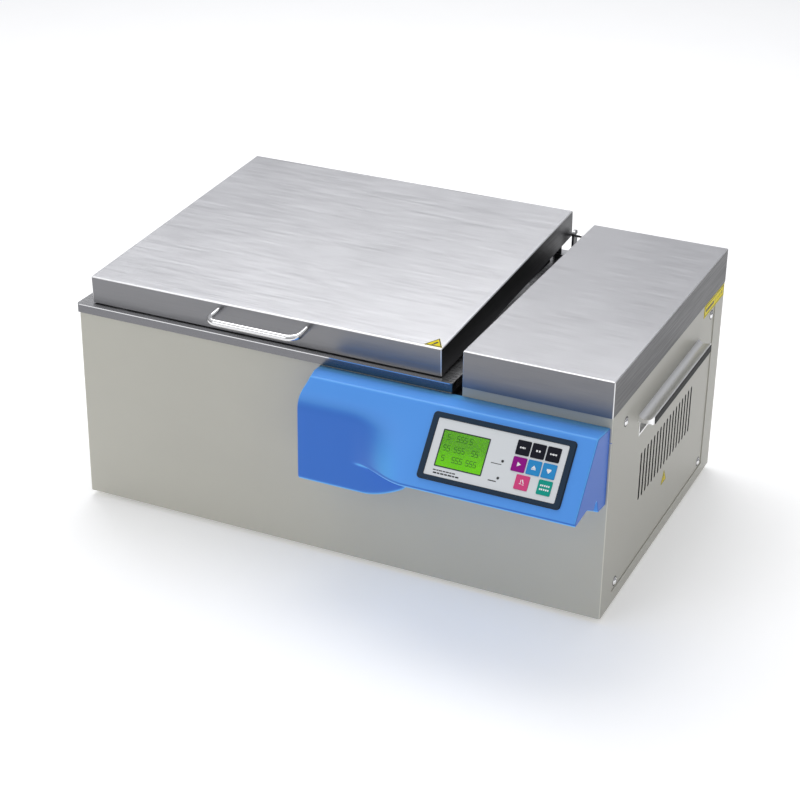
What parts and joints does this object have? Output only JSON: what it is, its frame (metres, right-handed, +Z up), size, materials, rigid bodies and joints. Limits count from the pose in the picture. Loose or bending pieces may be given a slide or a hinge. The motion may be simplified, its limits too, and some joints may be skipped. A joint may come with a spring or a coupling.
{
  "type": "laboratory water bath",
  "caption": "Heated circulating laboratory water bath: painted cabinet, hinged steel lid, side machine bay and a sloping control console.",
  "frame": {"origin": "middle of the bounding box, on the plane that the four feet stand on", "axes": "+X to the right as seen from the front, +Y towards the back, +Z up"},
  "size_m": [0.736, 0.5842, 0.3317],
  "materials": {
    "cabinet_paint": "satin textured paint",
    "zinc_steel": "zinc plated",
    "black_rubber": "matte",
    "bright_screws": "bright",
    "brushed_steel": "fine brushed",
    "insulation": "needled fibre blanket",
    "heater_sheath": "dark oxidised",
    "brass": "turned",
    "bright_steel": "drawn",
    "polished_steel": "polished",
    "yellow_label": "printed film",
    "blue_plastic": "moulded gloss",
    "navy_plastic": "moulded matte",
    "white_overlay": "printed film",
    "display_green": "lit display",
    "clear_window": "clear",
    "lamp_dark": "lens",
    "circuit_board": "solder mask",
    "black_plastic": "moulded",
    "motor_enamel": "enamel",
    "supply_case": "folded sheet",
    "heat_sink": "anodised",
    "black_keys": "printed film",
    "purple_key": "printed film",
    "blue_keys": "printed film",
    "pink_key": "printed film",
    "teal_key": "printed film"
  },
  "bodies": {
    "cabinet": {"cabinet_shell": "cabinet_paint", "base_plate": "zinc_steel", "rubber_feet": "black_rubber", "foot_screws": "zinc_steel", "bulkhead": "zinc_steel", "gap_seal": "black_rubber", "rear_panel": "cabinet_paint", "side_panel": "cabinet_paint", "panel_screws": "bright_screws", "side_grips": "cabinet_paint", "grip_strips": "black_rubber", "right_cover": "brushed_steel", "tank": "brushed_steel", "tank_insulation": "insulation", "heater_element": "heater_sheath", "tank_bushings": "brass", "temperature_probe": "bright_steel", "false_bottom": "brushed_steel", "hinge_brackets": "brushed_steel", "side_labels": "yellow_label", "console_housing": "blue_plastic", "console_screws": "zinc_steel", "keypad_bezel": "navy_plastic", "keypad_overlay": "white_overlay", "display_module": "display_green", "display_window": "clear_window", "indicator_lamps": "lamp_dark", "control_board": "circuit_board", "pump_volute": "black_plastic", "pump_motor": "motor_enamel", "pump_bracket": "zinc_steel", "suction_pipe": "bright_steel", "return_pipe": "bright_steel", "fan_frame": "black_plastic", "power_supply": "supply_case", "heater_relay": "heat_sink", "mains_inlet": "black_plastic", "switch_frame": "black_plastic", "drain_pipe": "bright_steel", "drain_valve": "brass"},
    "lid": {"lid_shell": "brushed_steel", "lid_liner": "brushed_steel", "lid_insulation": "insulation", "lid_handle": "polished_steel", "handle_nuts": "zinc_steel", "lid_bumpers": "black_rubber", "hinge_pins": "polished_steel", "lid_label": "yellow_label"},
    "pump_impeller": {"pump_rotor": "bright_steel"},
    "fan_wheel": {"fan_rotor": "black_plastic"},
    "power_rocker": {"switch_rocker": "black_plastic"},
    "drain_handle": {"drain_lever": "polished_steel"},
    "key_menu_cap": {"key_menu": "black_keys"},
    "key_program_cap": {"key_program": "black_keys"},
    "key_function_cap": {"key_function": "black_keys"},
    "key_start_cap": {"key_start": "purple_key"},
    "key_up_cap": {"key_up": "blue_keys"},
    "key_down_cap": {"key_down": "blue_keys"},
    "key_stop_cap": {"key_stop": "pink_key"},
    "key_set_cap": {"key_set": "teal_key"}
  },
  "joints": [
    {"name": "lid_hinge", "type": "hinge", "parent": "cabinet", "child": "lid", "pos_m": [-0.09725, 0.23358, 0.30117], "axis": [-1, 0, 0], "range_deg": [0, 100]},
    {"name": "pump_spin", "type": "hinge", "parent": "cabinet", "child": "pump_impeller", "pos_m": [0.2255, -0.00993, 0.1], "axis": [1, 0, 0], "continuous": true},
    {"name": "fan_spin", "type": "hinge", "parent": "cabinet", "child": "fan_wheel", "pos_m": [0.2905, 0.22507, 0.2], "axis": [0, 1, 0], "continuous": true},
    {"name": "power_switch", "type": "hinge", "parent": "cabinet", "child": "power_rocker", "pos_m": [0.2725, 0.23857, 0.064], "axis": [-1, 0, 0], "range_deg": [0, 16]},
    {"name": "drain_turn", "type": "hinge", "parent": "cabinet", "child": "drain_handle", "pos_m": [-0.2795, 0.25907, 0.038], "axis": [0, 0, -1], "range_deg": [0, 90]},
    {"name": "key_menu_press", "type": "slide", "parent": "cabinet", "child": "key_menu_cap", "axis": [0, 0.7694, -0.6388], "range_m": [0, 0.0004], "stiffness_N_per_m": 600},
    {"name": "key_program_press", "type": "slide", "parent": "cabinet", "child": "key_program_cap", "axis": [0, 0.7694, -0.6388], "range_m": [0, 0.0004], "stiffness_N_per_m": 600},
    {"name": "key_function_press", "type": "slide", "parent": "cabinet", "child": "key_function_cap", "axis": [0, 0.7694, -0.6388], "range_m": [0, 0.0004], "stiffness_N_per_m": 600},
    {"name": "key_start_press", "type": "slide", "parent": "cabinet", "child": "key_start_cap", "axis": [0, 0.7694, -0.6388], "range_m": [0, 0.0004], "stiffness_N_per_m": 600},
    {"name": "key_up_press", "type": "slide", "parent": "cabinet", "child": "key_up_cap", "axis": [0, 0.7694, -0.6388], "range_m": [0, 0.0004], "stiffness_N_per_m": 600},
    {"name": "key_down_press", "type": "slide", "parent": "cabinet", "child": "key_down_cap", "axis": [0, 0.7694, -0.6388], "range_m": [0, 0.0004], "stiffness_N_per_m": 600},
    {"name": "key_stop_press", "type": "slide", "parent": "cabinet", "child": "key_stop_cap", "axis": [0, 0.7694, -0.6388], "range_m": [0, 0.0004], "stiffness_N_per_m": 600},
    {"name": "key_set_press", "type": "slide", "parent": "cabinet", "child": "key_set_cap", "axis": [0, 0.7694, -0.6388], "range_m": [0, 0.0004], "stiffness_N_per_m": 600}
  ]
}
